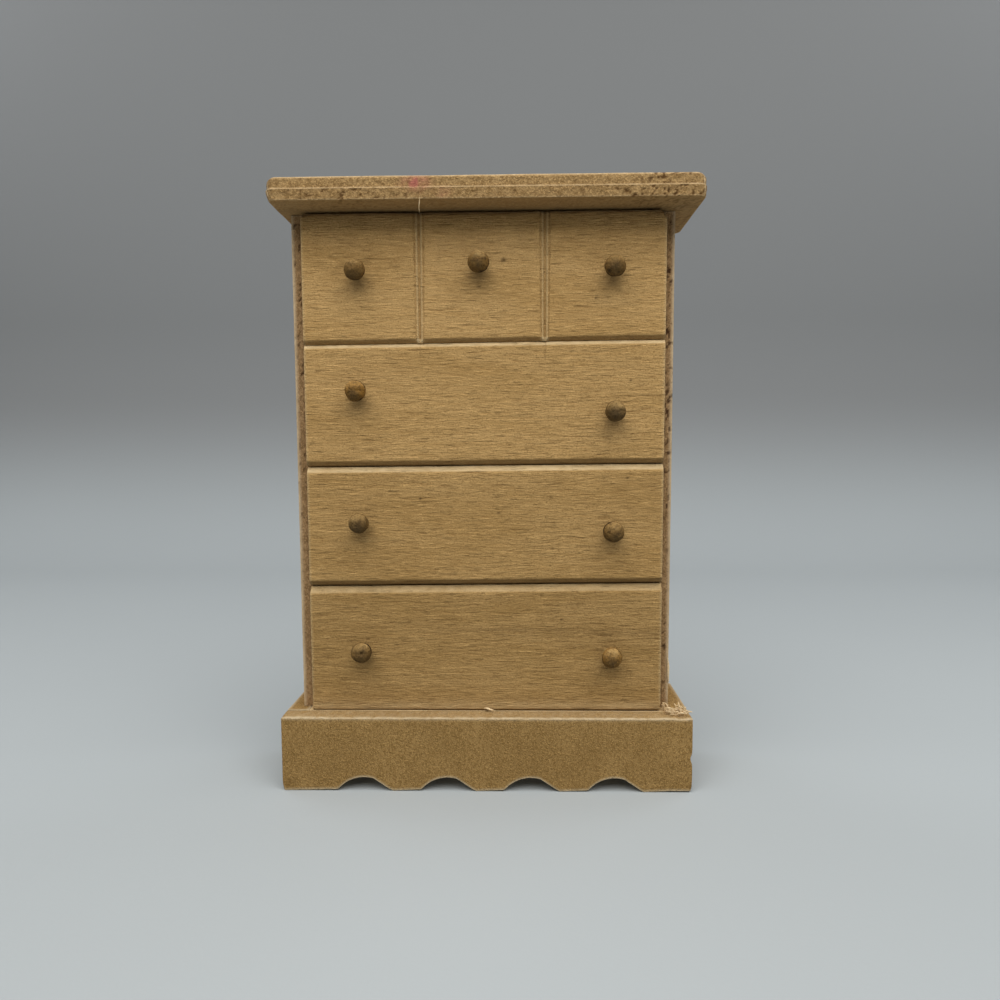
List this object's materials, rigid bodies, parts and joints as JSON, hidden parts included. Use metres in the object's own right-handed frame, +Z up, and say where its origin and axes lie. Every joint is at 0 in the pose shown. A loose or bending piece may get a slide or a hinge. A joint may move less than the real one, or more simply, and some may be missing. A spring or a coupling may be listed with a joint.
{
  "type": "miniature chest of drawers",
  "caption": "Doll's house chest of drawers in unfinished wood, with an overhanging top, bevelled drawer fronts, turned knobs and a scalloped plinth.",
  "frame": {"origin": "middle of the overall box, on the surface that the plinth stands on", "axes": "+Z up, the drawers open towards -Y, +X to the right of someone facing the front"},
  "size_m": [0.0804, 0.0252, 0.1155],
  "materials": {
    "top_board_wood": "raw fibreboard, sawn edge, unfinished",
    "drawer_front_wood": "raw sanded wood, fine horizontal grain",
    "side_board": "raw board with pale faces and a darker core",
    "plinth_board": "raw fibreboard, fine mottled face",
    "back_board": "thin raw board",
    "drawer_box_wood": "thin raw board",
    "knob_wood": "raw turned wood, handled and slightly soiled",
    "pin_steel": "darkened steel brads"
  },
  "bodies": {
    "carcass": {"top_board": "top_board_wood", "side_left": "side_board", "side_right": "side_board", "back_panel": "back_board", "base_board": "back_board", "plinth_front": "plinth_board", "plinth_return_left": "plinth_board", "plinth_return_right": "plinth_board", "plinth_pins": "pin_steel", "dust_shelf_1": "back_board", "dust_shelf_2": "back_board", "dust_shelf_3": "back_board"},
    "drawer_1": {"drawer_1_front": "drawer_front_wood", "drawer_1_left": "drawer_box_wood", "drawer_1_right": "drawer_box_wood", "drawer_1_back": "drawer_box_wood", "drawer_1_bottom": "drawer_box_wood", "knob_1_left": "knob_wood", "knob_1_middle": "knob_wood", "knob_1_right": "knob_wood"},
    "drawer_2": {"drawer_2_front": "drawer_front_wood", "drawer_2_left": "drawer_box_wood", "drawer_2_right": "drawer_box_wood", "drawer_2_back": "drawer_box_wood", "drawer_2_bottom": "drawer_box_wood", "knob_2_left": "knob_wood", "knob_2_right": "knob_wood"},
    "drawer_3": {"drawer_3_front": "drawer_front_wood", "drawer_3_left": "drawer_box_wood", "drawer_3_right": "drawer_box_wood", "drawer_3_back": "drawer_box_wood", "drawer_3_bottom": "drawer_box_wood", "knob_3_left": "knob_wood", "knob_3_right": "knob_wood"},
    "drawer_4": {"drawer_4_front": "drawer_front_wood", "drawer_4_left": "drawer_box_wood", "drawer_4_right": "drawer_box_wood", "drawer_4_back": "drawer_box_wood", "drawer_4_bottom": "drawer_box_wood", "knob_4_left": "knob_wood", "knob_4_right": "knob_wood"}
  },
  "joints": [
    {"name": "drawer_1_slide", "type": "slide", "parent": "carcass", "child": "drawer_1", "axis": [0, -1, 0], "range_m": [0, 0.011]},
    {"name": "drawer_2_slide", "type": "slide", "parent": "carcass", "child": "drawer_2", "axis": [0, -1, 0], "range_m": [0, 0.011]},
    {"name": "drawer_3_slide", "type": "slide", "parent": "carcass", "child": "drawer_3", "axis": [0, -1, 0], "range_m": [0, 0.011]},
    {"name": "drawer_4_slide", "type": "slide", "parent": "carcass", "child": "drawer_4", "axis": [0, -1, 0], "range_m": [0, 0.011]}
  ]
}
